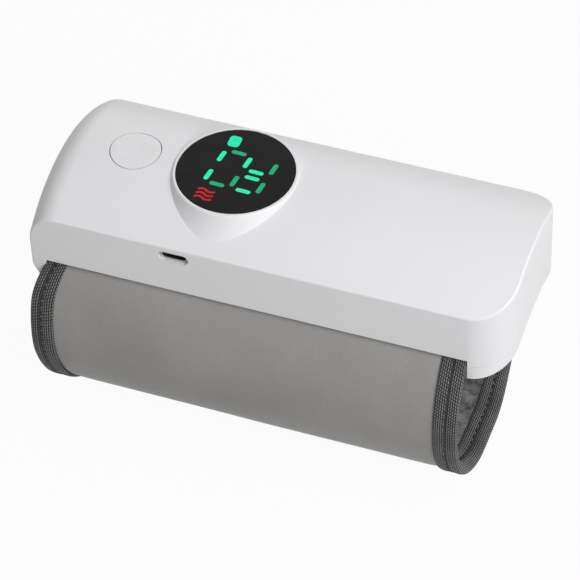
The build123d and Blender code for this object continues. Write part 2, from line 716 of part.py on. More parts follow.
# ---- Battery: cells, cradle, pads, strips and leads ------------------------------------------------
with BuildPart() as battery_cells:
    with BuildSketch(Plane.YZ.offset(cell_x0)):
        with Locations((-cell_y, cell_z), (cell_y, cell_z)):
            Circle(cell_d / 2)
    extrude(amount=cell_l)
    fillet(battery_cells.edges().filter_by(GeomType.CIRCLE), 0.6)
finish(battery_cells, "battery_cells")

cradle_half = rim_y - rim_wall - slip - bar_leg - 1.0
with BuildPart() as battery_cradle:
    with BuildSketch(Plane.YZ.offset(cell_x0 + 1)):
        with Locations((0, cradle_low_z)):
            Rectangle(2 * cradle_half, cell_z - 5.9 - cradle_low_z, align=(Align.CENTER, Align.MIN))
        with Locations((-cell_y, cell_z), (cell_y, cell_z)):
            Circle(cell_d / 2 + slip, mode=Mode.SUBTRACT)
    extrude(amount=cell_l - 2)
finish(battery_cradle, "battery_cradle")

pad_half = cell_y + 3
pad_low_z = cell_z + cell_d / 2 + 0.2
with BuildPart() as battery_pads:
    for x in (cell_x0 + 8, cell_x1 - 16):
        with BuildSketch(Plane.YZ.offset(x)):
            with BuildLine():
                pad_side_z = arch_at(arch_r - wall - 0.2, arch_z, pad_half)
                ThreePointArc((-pad_half, pad_side_z), (0, arch_z + arch_r - wall - 0.2),
                              (pad_half, pad_side_z))
                Polyline((pad_half, pad_side_z), (pad_half, pad_low_z), (-pad_half, pad_low_z),
                         (-pad_half, pad_side_z))
            make_face()
        extrude(amount=8)
finish(battery_pads, "battery_pads")

strip_t = 0.3
with BuildPart() as battery_strips:
    with BuildSketch(Plane.YZ.offset(cell_x1)):
        with Locations((0, cell_z)):
            RectangleRounded(2 * cell_y + 7, 7, 2)
    extrude(amount=strip_t)
    with BuildSketch(Plane.YZ.offset(cell_x0 - strip_t)):
        with Locations((-cell_y, cell_z), (cell_y, cell_z)):
            RectangleRounded(8, 7, 2)
    extrude(amount=strip_t)
finish(battery_strips, "battery_strips")

plug_x = board_x1 - 11.5
plug_z = main_top + 1.5
with BuildPart() as battery_plug:
    with BuildSketch(Plane.XY.offset(main_top)):
        with Locations((plug_x, -6)):
            Rectangle(3, 7)
    extrude(amount=3.2)
finish(battery_plug, "battery_plug")

lead_d = 1.3
lead_x1 = cell_x0 - strip_t
with BuildPart() as battery_leads:
    for start_y, end_y in ((-7.5, -cell_y), (-4.5, cell_y)):
        start = Vector(plug_x + 1.5, start_y, plug_z)
        end = Vector(lead_x1, end_y, cell_z - 0.8)
        run = (lead_x1 - plug_x - 1.5) / 3
        bend_a = start + Vector(run, 0, 0)
        bend_b = end - Vector(run, 0, 0)
        with BuildLine() as route:
            FilletPolyline(start, bend_a, bend_b, end, radius=1.2)
        with BuildSketch(Plane(start, z_dir=(1, 0, 0))):
            Circle(lead_d / 2)
        sweep(path=route.line)
finish(battery_leads, "battery_leads")
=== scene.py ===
# %% [markdown]
# # A portable bottle warmer
# The warmer is an arched plastic housing that lies on a soft heated sleeve. The housing, its display, its
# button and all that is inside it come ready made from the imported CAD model. What is left for Blender is
# the finish of every surface, and the sewn parts: leather, edge webbing, stitches and plush lining.

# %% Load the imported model
import math

import bpy
import numpy as np
from mathutils import Matrix, Vector


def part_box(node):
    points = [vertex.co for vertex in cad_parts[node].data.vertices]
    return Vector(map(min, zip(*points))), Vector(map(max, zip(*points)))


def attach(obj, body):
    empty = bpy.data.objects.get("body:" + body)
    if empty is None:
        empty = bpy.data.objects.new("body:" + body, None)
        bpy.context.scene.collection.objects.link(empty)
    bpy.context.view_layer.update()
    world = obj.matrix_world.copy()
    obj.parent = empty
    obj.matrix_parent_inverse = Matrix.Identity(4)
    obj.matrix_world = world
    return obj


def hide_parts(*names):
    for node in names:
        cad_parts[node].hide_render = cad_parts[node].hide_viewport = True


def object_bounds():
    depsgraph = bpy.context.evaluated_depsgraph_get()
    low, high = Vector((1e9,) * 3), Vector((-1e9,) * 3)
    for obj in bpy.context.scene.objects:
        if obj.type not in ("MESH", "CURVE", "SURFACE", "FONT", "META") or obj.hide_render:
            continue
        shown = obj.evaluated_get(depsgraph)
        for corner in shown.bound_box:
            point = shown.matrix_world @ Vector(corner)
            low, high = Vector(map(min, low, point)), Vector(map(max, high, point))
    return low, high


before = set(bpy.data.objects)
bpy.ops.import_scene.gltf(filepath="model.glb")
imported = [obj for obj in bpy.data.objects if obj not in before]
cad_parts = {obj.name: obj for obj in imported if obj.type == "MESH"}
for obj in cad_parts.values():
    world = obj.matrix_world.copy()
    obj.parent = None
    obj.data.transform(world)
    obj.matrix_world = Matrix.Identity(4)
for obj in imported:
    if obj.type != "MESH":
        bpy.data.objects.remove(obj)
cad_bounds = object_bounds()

MM = 0.001
low, high = (Vector(corner) for corner in cad_bounds)
middle = (low + high) / 2

# %% [markdown]
# ## The camera
# The camera stands off the corner, well above, with a long lens, so that the long edges stay almost
# parallel. It is placed by its compass angle, its height angle and its distance from a point near the
# middle, and it is rolled a little.

# %% Camera
azimuth, elevation, roll = (math.radians(a) for a in (22.045, 46.281, -2.888))
distance = 1.02572
aim = middle + Vector((-2.79, 0, -1.66)) * MM
focal_length = 194.8

back = Vector((math.sin(azimuth) * math.cos(elevation), -math.cos(azimuth) * math.cos(elevation),
               math.sin(elevation)))
level_right = Vector((math.cos(azimuth), math.sin(azimuth), 0))
level_up = back.cross(level_right)
right = level_right * math.cos(roll) + level_up * math.sin(roll)
up = level_up * math.cos(roll) - level_right * math.sin(roll)
camera = bpy.data.objects.new("camera", bpy.data.cameras.new("camera"))
camera.data.lens = focal_length
camera.data.sensor_width = 36
camera.data.clip_end = 20
turned = Matrix((right, up, back)).transposed().to_4x4()
camera.matrix_world = Matrix.Translation(aim + back * distance) @ turned
bpy.context.collection.objects.link(camera)
bpy.context.scene.camera = camera
print("camera at", [round(v, 3) for v in camera.location])

# %% [markdown]
# ## Shader sums
# A material is a graph of nodes, and a graph is tedious to write out. The class below wraps one socket, so
# that a sum in Python adds the Math nodes that do it. A second class holds one finish: its Principled
# shader, and one method that makes any other node from its settings and its inputs.

# %% Shader helpers
class Value:
    """A shader socket that takes part in sums."""

    def __init__(self, finish, socket):
        self.finish = finish
        self.socket = socket

    def math(self, operation, first, second):
        return self.finish.node("ShaderNodeMath", {"operation": operation}, {0: first, 1: second})

    def __add__(self, other):
        return self.math("ADD", self, other)

    __radd__ = __add__

    def __sub__(self, other):
        return self.math("SUBTRACT", self, other)

    def __rsub__(self, other):
        return self.math("SUBTRACT", other, self)

    def __mul__(self, other):
        return self.math("MULTIPLY", self, other)

    __rmul__ = __mul__

    def __truediv__(self, other):
        return self.math("DIVIDE", self, other)


class Finish:
    """A material with one Principled shader, whose constants are set on its own sockets."""

    def __init__(self, name, **constants):
        self.material = bpy.data.materials.new(name)
        self.material.use_nodes = True
        self.tree = self.material.node_tree
        self.shader = self.tree.nodes["Principled BSDF"]
        for socket, value in constants.items():
            self.shader.inputs[socket.replace("_", " ")].default_value = value

    def feed(self, socket, value):
        if isinstance(value, Value):
            self.tree.links.new(value.socket, socket)
        else:
            socket.default_value = value

    def node(self, kind, settings=None, inputs=None, output=0):
        made = self.tree.nodes.new(kind)
        for key, value in (settings or {}).items():
            if key == "stops":
                while len(made.color_ramp.elements) < len(value):
                    made.color_ramp.elements.new(0.5)
                for element, (place, colour) in zip(made.color_ramp.elements, value):
                    element.position = place
                    element.color = (*colour, 1)
            else:
                setattr(made, key, value)
        for key, value in (inputs or {}).items():
            self.feed(made.inputs[key], value)
        return Value(self, made.outputs[output])

    def set(self, **varying):
        for socket, value in varying.items():
            self.feed(self.shader.inputs[socket.replace("_", " ")], value)
        return self

    def place(self):
        """Place on the object, in metres."""
        return self.node("ShaderNodeTexCoord", output="Object")

    def band(self):
        """Place on a sewn piece, in millimetres: along it and across it."""
        return self.node("ShaderNodeUVMap", {"uv_map": "band"})

    def noise(self, where, scale, detail=3.0, roughness=0.5, stretch=None):
        if stretch:
            where = self.node("ShaderNodeVectorMath", {"operation": "MULTIPLY"}, {0: where, 1: stretch})
        return self.node("ShaderNodeTexNoise", {"noise_dimensions": "3D"},
                         {"Vector": where, "Scale": scale, "Detail": detail, "Roughness": roughness})

    def between(self, mask, first, second):
        """First colour where the mask is 0, second where it is 1."""
        first, second = (c if isinstance(c, Value) else (*c, 1) for c in (first, second))
        return self.node("ShaderNodeMix", {"data_type": "RGBA"}, {0: mask, 6: first, 7: second}, output=2)

    def ramp(self, value, start, stop):
        """0 below start, 1 above stop, smooth between them."""
        return self.node("ShaderNodeMapRange", {"interpolation_type": "SMOOTHSTEP"},
                         {"Value": value, 1: start, 2: stop, 3: 0.0, 4: 1.0})

    def bump(self, height, depth_mm, strength=1.0):
        return self.node("ShaderNodeBump", {}, {"Height": height, "Distance": depth_mm * MM,
                                                "Strength": strength})


def dress(node, finish):
    """Gives a CAD node its finish."""
    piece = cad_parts[node]
    for slot in piece.material_slots:
        slot.material = finish.material


print("shader helpers ready")

# %% [markdown]
# ## Moulded plastic
# The housing, the bottom cover and the button are one white plastic, moulded in a finely spark-eroded
# tool, so the surface is satin and not glossy. Three scales are mixed: a broad drift of tone from the
# flow of the melt, a fine tool texture in the bump, and a roughness that wanders where hands polish it.

# %% White shells
def moulded(name, colour, roughness, grain_mm=0.35, depth_mm=0.012, drift=0.03):
    """Moulded plastic with a tool texture."""
    finish = Finish(name, IOR=1.46)
    where = finish.place()
    tone = finish.noise(where, 18, 2)
    texture = finish.noise(where, 1 / (grain_mm * MM), 2)
    polish = finish.noise(where, 60, 3)
    deep = tuple(c * (1 - drift) for c in colour)
    finish.set(Base_Color=finish.between(finish.ramp(tone, 0.3, 0.7), deep, colour),
               Roughness=polish * 0.10 + (roughness - 0.05), Normal=finish.bump(texture, depth_mm))
    return finish


white_shell = moulded("white_shell", (0.80, 0.80, 0.815), 0.40)
for node in ("top_shell", "bottom_cover", "power_button"):
    dress(node, white_shell)
print("shells dressed")

# %% [markdown]
# ## The display
# A black tinted window hides the lamps until they light. Its gloss is broken only by faint wiping marks.
# The digits and marks are clear windows let into it, lit from below, a little patchy in brightness.

# %% Display window and its lights
lens = Finish("display_black", Specular_IOR_Level=0.12)
lens_place = lens.place()
smear = lens.noise(lens_place, 90, 4, stretch=(1, 3, 1))
lens.set(Base_Color=lens.between(smear, (0.004, 0.004, 0.0045), (0.007, 0.007, 0.008)),
         Roughness=smear * 0.14 + 0.16,
         Normal=lens.bump(lens.noise(lens_place, 700, 2), 0.004))
dress("display_window", lens)


def lit_window(name, colour, strength):
    """A clear window with a lamp under it."""
    finish = Finish(name, Emission_Strength=strength, Roughness=0.3, Specular_IOR_Level=0.04)
    cloud = finish.noise(finish.place(), 900, 2)
    glow = finish.between(finish.ramp(cloud, 0.25, 0.75), tuple(c * 0.86 for c in colour), colour)
    finish.set(Emission_Color=glow, Base_Color=finish.between(cloud, (0.0, 0.0, 0.0), (0.02, 0.02, 0.02)))
    return finish


for node, colour, strength in (
        ("digit_windows_bright", (0.02, 0.92, 0.46), 1.0), ("digit_windows_dim", (0.008, 0.44, 0.19), 1.0),
        ("status_window", (0.015, 0.86, 0.47), 1.0), ("heat_window", (0.56, 0.012, 0.018), 1.0)):
    dress(node, lit_window(node, colour, strength))
print("display dressed")

# %% [markdown]
# ## What is inside
# The boards, cells, screws and frames are sealed in, and are seen only when the shells are taken off.
# They still get finishes of their own, from one small table: colour, roughness, metal or not, the size of
# the mottling and the depth of the texture.

# %% Inner pieces
def workshop(name, colour, roughness, metallic=0.0, mottle_mm=0.6, depth_mm=0.01, contrast=0.25):
    """A plain technical surface with mottling and texture."""
    finish = Finish(name, Metallic=metallic)
    where = finish.place()
    mottle = finish.noise(where, 1 / (mottle_mm * MM), 3)
    dark = tuple(c * (1 - contrast) for c in colour)
    finish.set(Base_Color=finish.between(finish.ramp(mottle, 0.35, 0.65), dark, colour),
               Roughness=mottle * 0.15 + (roughness - 0.07), Normal=finish.bump(mottle, depth_mm))
    return finish


def striped(name, first, second, pitch_mm, roughness):
    """Printed lines, as on a circuit board or a heating film."""
    finish = Finish(name)
    where = finish.place()
    wander = finish.noise(where, 120, 1) * (pitch_mm * 3)
    split = finish.node("ShaderNodeSeparateXYZ", {}, {0: where})
    phase = (split * (1 / MM) + wander) * (2 * math.pi / pitch_mm)
    line = finish.ramp(phase.math("SINE", phase, 0), 0.2, 0.5)
    finish.set(Base_Color=finish.between(line, first, second), Normal=finish.bump(line, 0.02),
               Roughness=line * 0.1 + roughness)
    return finish


inner_finishes = {
    "led_frame": workshop("frame_white", (0.78, 0.78, 0.76), 0.6),
    "led_chips": workshop("chip_yellow", (0.70, 0.62, 0.22), 0.35, mottle_mm=0.3),
    "control_board": striped("control_board", (0.012, 0.11, 0.045), (0.02, 0.19, 0.08), 1.2, 0.35),
    "main_board": striped("main_board", (0.012, 0.11, 0.045), (0.02, 0.19, 0.08), 1.5, 0.35),
    "power_components": workshop("component_black", (0.02, 0.02, 0.022), 0.45, mottle_mm=0.25),
    "board_header": workshop("header_black", (0.018, 0.018, 0.018), 0.5, mottle_mm=0.4),
    "switch_body": workshop("switch_black", (0.02, 0.02, 0.02), 0.4, mottle_mm=0.4),
    "switch_plunger": workshop("plunger_white", (0.6, 0.6, 0.58), 0.5, mottle_mm=0.4),
    "usb_socket_shell": workshop("socket_steel", (0.62, 0.62, 0.63), 0.32, metallic=1.0, mottle_mm=0.25),
    "usb_socket_tongue": workshop("tongue_black", (0.012, 0.012, 0.012), 0.5, mottle_mm=0.3),
    "battery_cells": workshop("cell_wrap", (0.05, 0.17, 0.38), 0.30, mottle_mm=1.2, contrast=0.1),
    "battery_cradle": workshop("cradle_grey", (0.42, 0.42, 0.42), 0.55),
    "battery_pads": workshop("foam_black", (0.03, 0.03, 0.03), 0.95, mottle_mm=0.5, depth_mm=0.15),
    "battery_strips": workshop("strip_nickel", (0.66, 0.62, 0.55), 0.3, metallic=1.0, mottle_mm=0.4),
    "battery_leads": workshop("lead_red", (0.45, 0.02, 0.02), 0.45, mottle_mm=0.8),
    "battery_plug": workshop("plug_ivory", (0.62, 0.58, 0.48), 0.5),
    "board_screws": workshop("screw_zinc", (0.58, 0.58, 0.6), 0.35, metallic=1.0, mottle_mm=0.3),
    "case_screws": workshop("screw_black", (0.05, 0.05, 0.055), 0.4, metallic=1.0, mottle_mm=0.3),
    "hem_bar_front": workshop("bar_grey_front", (0.16, 0.16, 0.16), 0.55),
    "hem_bar_back": workshop("bar_grey_back", (0.16, 0.16, 0.16), 0.55),
    "film_tails": workshop("film_amber", (0.42, 0.17, 0.03), 0.3, mottle_mm=0.8),
    "temperature_sensor": workshop("sensor_steel", (0.5, 0.5, 0.5), 0.35, metallic=1.0, mottle_mm=0.3)}
for node, finish in inner_finishes.items():
    dress(node, finish)
print(len(inner_finishes), "inner pieces dressed")

# %% [markdown]
# ## The line of the sleeve
# The sleeve is one band of cloth and leather. It hangs from both long sides of the housing, turns out at a
# tight hip just under the shell's cut edge, and then runs round the bottle, pressed flat where it lies.
# Every sewn piece follows that one line, so it is worked out once: points, directions square to it,
# and the running length from the middle of the underside. Each piece is then a small outline, drawn in
# "along the bottle" and "inward", and swept along the line. Both ends are free cloth, so they don't stay
# flat: below the shell the rounded end flares out, and the square end curls in a little at the back.

# %% The sleeve's line
def box_mm(node):
    return [np.array(corner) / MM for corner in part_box(node)]


cover_low, cover_high = box_mm("sleeve_cover")
left_low, left_high = box_mm("binding_left")
right_low, right_high = box_mm("binding_right")
flat_depth = 1.9
hip_r = 5.0
sleeve_r = cover_high[1]
sleeve_z = cover_low[2] - flat_depth + sleeve_r
tab_y = box_mm("hem_bar_back")[1][1]
tab_top = cover_high[2]
hip_y = tab_y + hip_r
hip_z = sleeve_z + math.sqrt((sleeve_r + hip_r) ** 2 - hip_y**2)
cut_z = left_high[2] + 0.3


def sleeve_line(top_z, step_mm=1.0):
    """Points (y, z), outward directions and running lengths, from the front tab round to the back tab."""
    turn = np.linspace(0, math.pi - math.atan2(hip_y, hip_z - sleeve_z), 400)
    sharp = 3.0
    flat_r = (sleeve_r - flat_depth) / np.maximum(np.cos(turn), 0.2)
    radius = -np.log(np.exp(-sharp * (sleeve_r - 30)) + np.exp(-sharp * (flat_r - 30))) / sharp + 30
    y, z = radius * np.sin(turn), sleeve_z - radius * np.cos(turn)
    hip_start = math.atan2(z[-1] - hip_z, y[-1] - hip_y)
    hip_turn = np.linspace(hip_start % (2 * math.pi), math.pi, 60)[1:]
    y = np.concatenate([y, hip_y + hip_r * np.cos(hip_turn)])
    z = np.concatenate([z, hip_z + hip_r * np.sin(hip_turn)])
    tab = np.linspace(hip_z, tab_top, 30)[1:]
    y, z = np.concatenate([y, np.full(tab.size, tab_y)]), np.concatenate([z, tab])
    keep = z <= top_z
    y, z = y[keep], z[keep]
    y, z = np.concatenate([-y[:0:-1], y]), np.concatenate([z[:0:-1], z])
    run = np.concatenate([[0], np.cumsum(np.hypot(np.diff(y), np.diff(z)))])
    even = np.linspace(0, run[-1], int(run[-1] / step_mm))
    y, z = np.interp(even, run, y), np.interp(even, run, z)
    along_y, along_z = np.gradient(y), np.gradient(z)
    length = np.hypot(along_y, along_z)
    return {"y": y, "z": z, "out_y": along_z / length, "out_z": -along_y / length,
            "run": even - run[-1] / 2}


flare_mm = 3.9            # how far the rounded end flares
flare_lost_mm = 2.0       # how much of that is lost down at the floor
flare_height = 13         # height below the cut edge in which the flare opens
low_height = 34           # height from which the flare closes again
curl_mm = 1.5             # how far the square end curls in at the back
flare_reach, curl_reach = 45, 30


def flare(x, y, z):
    """Moves the sleeve's free ends along X."""
    below = 1 - (1 - np.clip((cut_z - 0.5 - z) / flare_height, 0, 1)) ** 1.8
    near_floor = np.clip((low_height - z) / low_height, 0, 1)
    to_left = np.clip(1 - (x - left_low[0]) / flare_reach, 0, 1)
    to_right = np.clip(1 - (right_high[0] - x) / curl_reach, 0, 1)
    behind = np.clip((y - 6) / 22, 0, 1)
    outward = (flare_mm - flare_lost_mm * near_floor) * below * to_left**1.5
    inward = curl_mm * below * behind * to_right**1.5
    return x - outward - inward


def sweep(name, outline, line, finish, push=None, bends=True):
    """A closed outline of (x, inset) points in millimetres, swept along a line. push adds to the inset."""
    outline = np.array(outline, float)
    count, steps = len(outline), len(line["run"])
    x = np.repeat(outline[:, :1], steps, axis=1)
    inset = np.repeat(outline[:, 1:], steps, axis=1)
    run = np.repeat(line["run"][None, :], count, axis=0)
    if push:
        inset = inset + push(x, run, np.repeat(np.arange(count)[:, None], steps, axis=1))
    y = line["y"] - line["out_y"] * inset
    z = line["z"] - line["out_z"] * inset
    if bends:
        x = flare(x, y, z)
    points = np.stack([x, y, z], axis=-1).reshape(-1, 3) * MM
    across = np.concatenate([[0], np.cumsum(np.hypot(*np.diff(np.vstack([outline, outline[:1]]), axis=0).T))])
    faces, marks = [], []
    for i in range(count):
        j = (i + 1) % count
        for k in range(steps - 1):
            faces.append((i * steps + k, i * steps + k + 1, j * steps + k + 1, j * steps + k))
            here, after = line["run"][k], line["run"][k + 1]
            marks += [(here, across[i]), (after, across[i]), (after, across[i + 1]), (here, across[i + 1])]
    for k in (0, steps - 1):
        cap = [i * steps + k for i in range(count)]
        faces.append(cap if k else cap[::-1])
        marks += [(line["run"][k], across[i]) for i in range(count)]
    mesh = bpy.data.meshes.new(name)
    mesh.from_pydata(points.tolist(), [], faces)
    mesh.uv_layers.new(name="band").data.foreach_set("uv", np.array(marks, np.float32).ravel())
    mesh.validate()
    mesh.shade_smooth()
    return add_piece(name, mesh, finish)


def add_piece(name, mesh, finish):
    piece = bpy.data.objects.new(name, mesh)
    bpy.context.collection.objects.link(piece)
    mesh.materials.append(finish.material)
    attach(piece, "warmer")
    return piece


def layer_outline(x_start, x_end, outer, inner, step_mm=1.5):
    """Outline of a flat layer between two insets, with many points across the outside and the inside."""
    across = np.linspace(x_start, x_end, int((x_end - x_start) / step_mm))
    return [(x, outer) for x in across] + [(x, inner) for x in across[::-1]]


full_line = sleeve_line(tab_top)
print("sleeve runs", round(float(np.ptp(full_line["run"])), 1), "mm from tab to tab")

# %% [markdown]
# ## Leather
# The cover is a smooth coated leather in warm grey. Seen close, it has a fine pebble grain; from further
# off only its soft sheen shows. The sheet is not quite a perfect tube: it swells a little between its
# hems, and it is drawn in where the binding's stitches pull it. It was cut flat, and its flat size is
# worked out from the finished sheet and printed, as is the lining's.

# %% Leather cover
def soft_noise(x, run, size_x, size_run, seed):
    """Smooth noise from -1 to 1 on a grid, with its own grain size in each direction."""
    rng = np.random.default_rng(seed)
    table = rng.uniform(-1, 1, (64, 64))
    u, v = x / size_x + 20, run / size_run + 30
    i, j = np.floor(u).astype(int), np.floor(v).astype(int)
    a, b = u - i, v - j
    a, b = a * a * (3 - 2 * a), b * b * (3 - 2 * b)
    def spot(di, dj):
        return table[(i + di) % 64, (j + dj) % 64]
    return ((spot(0, 0) * (1 - a) + spot(1, 0) * a) * (1 - b)
            + (spot(0, 1) * (1 - a) + spot(1, 1) * a) * b)


sleeve_start, sleeve_end = left_low[0], right_high[0]
band_left_w, band_right_w = left_high[0] - left_low[0], right_high[0] - right_low[0]
leather_t, padding_t, film_t, lining_t, layer_gap = 0.9, 1.3, 0.3, 0.8, 0.1
lining_inset = leather_t + padding_t + film_t + 3 * layer_gap

leather = Finish("leather", Specular_IOR_Level=0.25)
leather_place = leather.band()
pebble = leather.node("ShaderNodeTexVoronoi", {"feature": "SMOOTH_F1"},
                      {"Vector": leather_place, "Scale": 1.9, "Smoothness": 0.6})
pore = leather.noise(leather_place, 3.2, 2)
cloud = leather.noise(leather_place, 0.035, 3)
scuff = leather.noise(leather_place, 0.3, 4)
leather_tone = leather.between(leather.ramp(cloud, 0.3, 0.7), (0.300, 0.294, 0.284), (0.338, 0.331, 0.320))
leather.set(Base_Color=leather.between(pebble * 0.35, leather_tone, (0.22, 0.216, 0.208)),
            Roughness=scuff * 0.12 + 0.42,
            Normal=leather.bump(pebble * -0.6 + pore * 0.5, 0.035))


def cut_size(piece, width_mm):
    """Width and length of the flat cut, in metres: half of a thin closed sheet's area is one face."""
    one_face = sum(face.area for face in piece.data.polygons) / 2
    return width_mm * MM, one_face / (width_mm * MM)


stitch_pitch = 2.9
tuck_under = 4.0          # leather's edge inside the fold of the binding


def leather_push(x, run, index):
    """Gentle swell of the sheet, and the pull of the bindings' stitches."""
    swell = 0.18 * soft_noise(x, run, 42, 38, 3) + 0.07 * soft_noise(x, run, 17, 21, 4)
    to_band = np.minimum(x - sleeve_start - band_left_w, sleeve_end - band_right_w - x)
    near = np.exp(-np.clip(to_band, 0, None) / 1.6)
    pull = near * (0.22 + 0.06 * np.cos(run * 2 * math.pi / stitch_pitch))
    settle = np.clip(1 - np.abs(run) / 16, 0, 1)
    edge = np.clip((hip_z + 1 - np.interp(run, full_line["run"], full_line["z"])) / 8, 0, 1)
    under_shell = np.clip((np.interp(run, full_line["run"], full_line["z"]) - cut_z + 2.2) / 2.2, 0, 1)
    outside = (0.12 - swell) * (1 - settle) * edge + pull
    return np.where(index < leather_count, outside + 0.55 * under_shell, 0)


leather_outline = layer_outline(sleeve_start + tuck_under - 0.8, sleeve_end - tuck_under, 0.0, leather_t, 1.2)
leather_count = len(leather_outline) // 2
leather_piece = sweep("leather_cover", leather_outline, full_line, leather, leather_push)
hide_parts("sleeve_cover")
leather_cut = cut_size(leather_piece, leather_outline[leather_count - 1][0] - leather_outline[0][0])
print("leather's cut, mm:", [round(side / MM, 1) for side in leather_cut])
print("leather:", len(leather_piece.data.polygons), "faces")

# %% [markdown]
# ## Padding and heating film
# Felt padding and a printed heating film lie between leather and lining. Nobody sees them in the closed
# sleeve, but they are there for whoever takes it apart, so they get simple sheets of their own. Both stop
# short of the bindings, so that the sewn edge can be pinched thin.

# %% Hidden layers
felt = workshop("felt_grey", (0.42, 0.42, 0.41), 0.95, mottle_mm=0.8, depth_mm=0.2)
film = striped("heating_film", (0.34, 0.13, 0.02), (0.55, 0.30, 0.10), 2.5, 0.3)
padding_start, padding_end = sleeve_start + band_left_w + 0.3, sleeve_end - band_right_w - 0.3
padding_piece = sweep("felt_padding", layer_outline(
    padding_start, padding_end, leather_t + layer_gap, leather_t + layer_gap + padding_t), full_line, felt)
film_outer = lining_inset - layer_gap - film_t
film_piece = sweep("heating_foil", layer_outline(
    padding_start, padding_end, film_outer, film_outer + film_t), full_line, film)
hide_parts("sleeve_padding")
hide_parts("heating_film")
cut_size(film_piece, padding_end - padding_start)
print("hidden layers in place")

# %% [markdown]
# ## Plush lining
# The lining is a short dark pile. It is cut to the outside of the curve, so on the inside it has too much
# length and lies in soft creases along the bottle. The creases are real shape, made by pushing the
# surface inward along bands that wander; the pile itself is a fine bump with a sheen at grazing angles.

# %% Plush
def plush(name):
    finish = Finish(name, Sheen_Weight=0.35, Sheen_Roughness=0.5, Specular_IOR_Level=0.2)
    where = finish.place()
    pile = finish.noise(where, 2600, 3, 0.7)
    tuft = finish.noise(where, 420, 3, 0.6)
    nap = finish.noise(where, 70, 3, 0.6)
    brushed = finish.between(finish.ramp(nap, 0.35, 0.65), (0.055, 0.055, 0.057), (0.125, 0.125, 0.129))
    finish.set(Base_Color=finish.between(finish.ramp(tuft, 0.3, 0.75), brushed, (0.21, 0.21, 0.215)),
               Roughness=tuft * 0.1 + 0.85, Normal=finish.bump(pile * 0.6 + tuft, 0.35))
    return finish


def lining_push(x, run, index):
    """Wandering creases of the lining, on its inside only."""
    wander = soft_noise(x, run, 34, 25, 11) * 0.6 + soft_noise(x, run, 14, 12, 12) * 0.2
    fold = (0.5 + 0.5 * np.cos(2 * math.pi * (run / 10.5 + wander))) ** 2
    cross = np.clip(soft_noise(x, run, 7, 23, 13) - 0.35, 0, 1) * 1.3
    to_edge = np.minimum(x - sleeve_start, sleeve_end - x)
    free = np.clip((to_edge - 7.5) / 5, 0, 1)
    inside = index >= lining_count
    rumple = 0.3 * soft_noise(x, run, 5, 4, 14) + 0.15 * soft_noise(x, run, 2.2, 2.4, 15)
    return np.where(inside, (2.9 * fold - 0.9 * cross - 0.5) * free + rumple * np.clip(free + 0.3, 0, 1), 0)


lining = plush("plush_dark")
lining_outline = layer_outline(sleeve_start + 7.3, sleeve_end - 6.8, lining_inset - 0.05,
                               lining_inset + lining_t, 1.2)
lining_count = len(lining_outline) // 2
lining_piece = sweep("plush_lining", lining_outline, sleeve_line(tab_top, 0.8), lining, lining_push)
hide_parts("sleeve_lining")
lining_cut = cut_size(lining_piece, lining_outline[lining_count - 1][0] - lining_outline[0][0])
print("lining's cut, mm:", [round(side / MM, 1) for side in lining_cut])
print("lining:", len(lining_piece.data.polygons), "faces")

# %% [markdown]
# ## Edge bindings
# Webbing tape is folded over each end of the sleeve and sewn through. The stitch line pulls a groove into
# both faces, so the tape swells in two soft ridges on each side of it, and the fold itself is pinched
# thin. The weave runs along the tape as fine ribs, each rib a row of short slanted yarns. Shade is painted
# into the tape's colour: near black between the yarns, and darker along the stitch groove.

# %% Webbing and bindings
webbing = Finish("webbing", Sheen_Weight=0.15, Sheen_Roughness=0.4, Specular_IOR_Level=0.3)
tape = webbing.node("ShaderNodeSeparateXYZ", {}, {0: webbing.band()})
tape_across = webbing.node("ShaderNodeSeparateXYZ", {}, {0: webbing.band()}, output=1)
rib_pitch, yarn_pitch = 0.72, 1.15
rib_number = tape_across.math("FLOOR", tape_across / rib_pitch, 0)
rib_phase = tape_across * (math.pi / rib_pitch)
rib = rib_phase.math("ABSOLUTE", rib_phase.math("SINE", rib_phase, 0), 0)
yarn_phase = (tape / yarn_pitch + rib_number * 0.37 + tape_across * 0.5) * (2 * math.pi)
yarn = yarn_phase.math("SINE", yarn_phase, 0) * 0.5 + 0.5
weave = rib * (yarn * 0.45 + 0.55)
fuzz = webbing.noise(webbing.band(), 2.5, 3, 0.6)
worn = webbing.noise(webbing.band(), 0.11, 3)
thread = webbing.between(webbing.ramp(worn, 0.3, 0.7), (0.19, 0.191, 0.195), (0.27, 0.271, 0.276))
seam_across = 4.6         # the stitch groove, measured across the tape's outer face
from_seam = tape_across - seam_across
# Painted shade: the colour is darkened along the stitch groove.
groove_shade = webbing.ramp(from_seam.math("ABSOLUTE", from_seam, 0), 0.2, 0.6) * 0.7 + 0.3
# Painted shade: near black between the yarns, and the thread's colour on their crests.
webbing.set(Base_Color=webbing.between(webbing.ramp(weave + (fuzz - 0.5) * 0.5, 0.3, 0.98) * groove_shade,
                                       (0.006, 0.006, 0.0065), thread),
            Roughness=fuzz * 0.2 + 0.68, Normal=webbing.bump(weave + fuzz * 0.3, 0.22))

stitch_thread = workshop("stitch_thread", (0.012, 0.012, 0.013), 0.6, mottle_mm=0.2)
inner_deep = lining_inset + lining_t + 0.6


